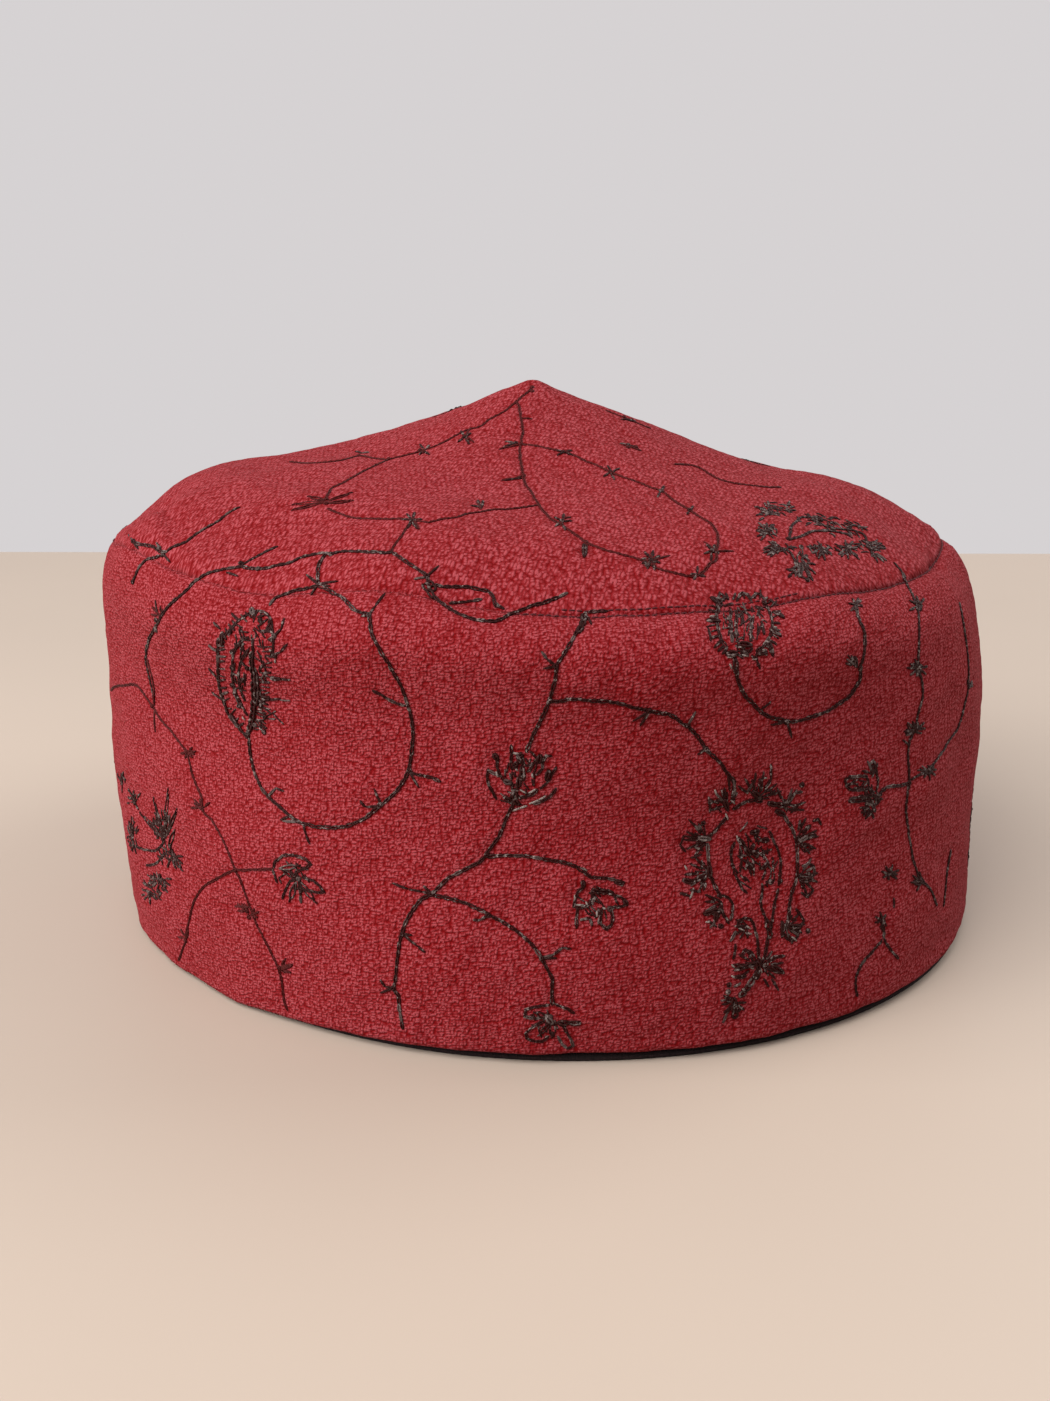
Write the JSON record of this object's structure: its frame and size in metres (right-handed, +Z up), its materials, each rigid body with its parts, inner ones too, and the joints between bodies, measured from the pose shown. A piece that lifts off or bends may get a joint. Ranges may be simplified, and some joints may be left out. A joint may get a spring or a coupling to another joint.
{
  "type": "embroidered cloth cap",
  "caption": "Round cloth cap with a tall side band, a soft crown tented to a blunt peak, and vine and paisley embroidery; worn on the head.",
  "frame": {"origin": "on the surface it rests on, under the middle of the cap's outline seen from above", "axes": "+Z up, from the open rim to the peak; -Y is the front, the side that faces the viewer; +X is the viewer's right"},
  "size_m": [0.1854, 0.1874, 0.1085],
  "materials": {
    "red_wool": "matt crimson wool with a crepe weave",
    "dark_cloth": "matt dark cotton",
    "embroidery_thread": "dark green-grey twisted thread with a faint sheen"
  },
  "bodies": {
    "root": {"band": "red_wool", "crown": "red_wool", "inner_band": "dark_cloth"}
  },
  "joints": []
}
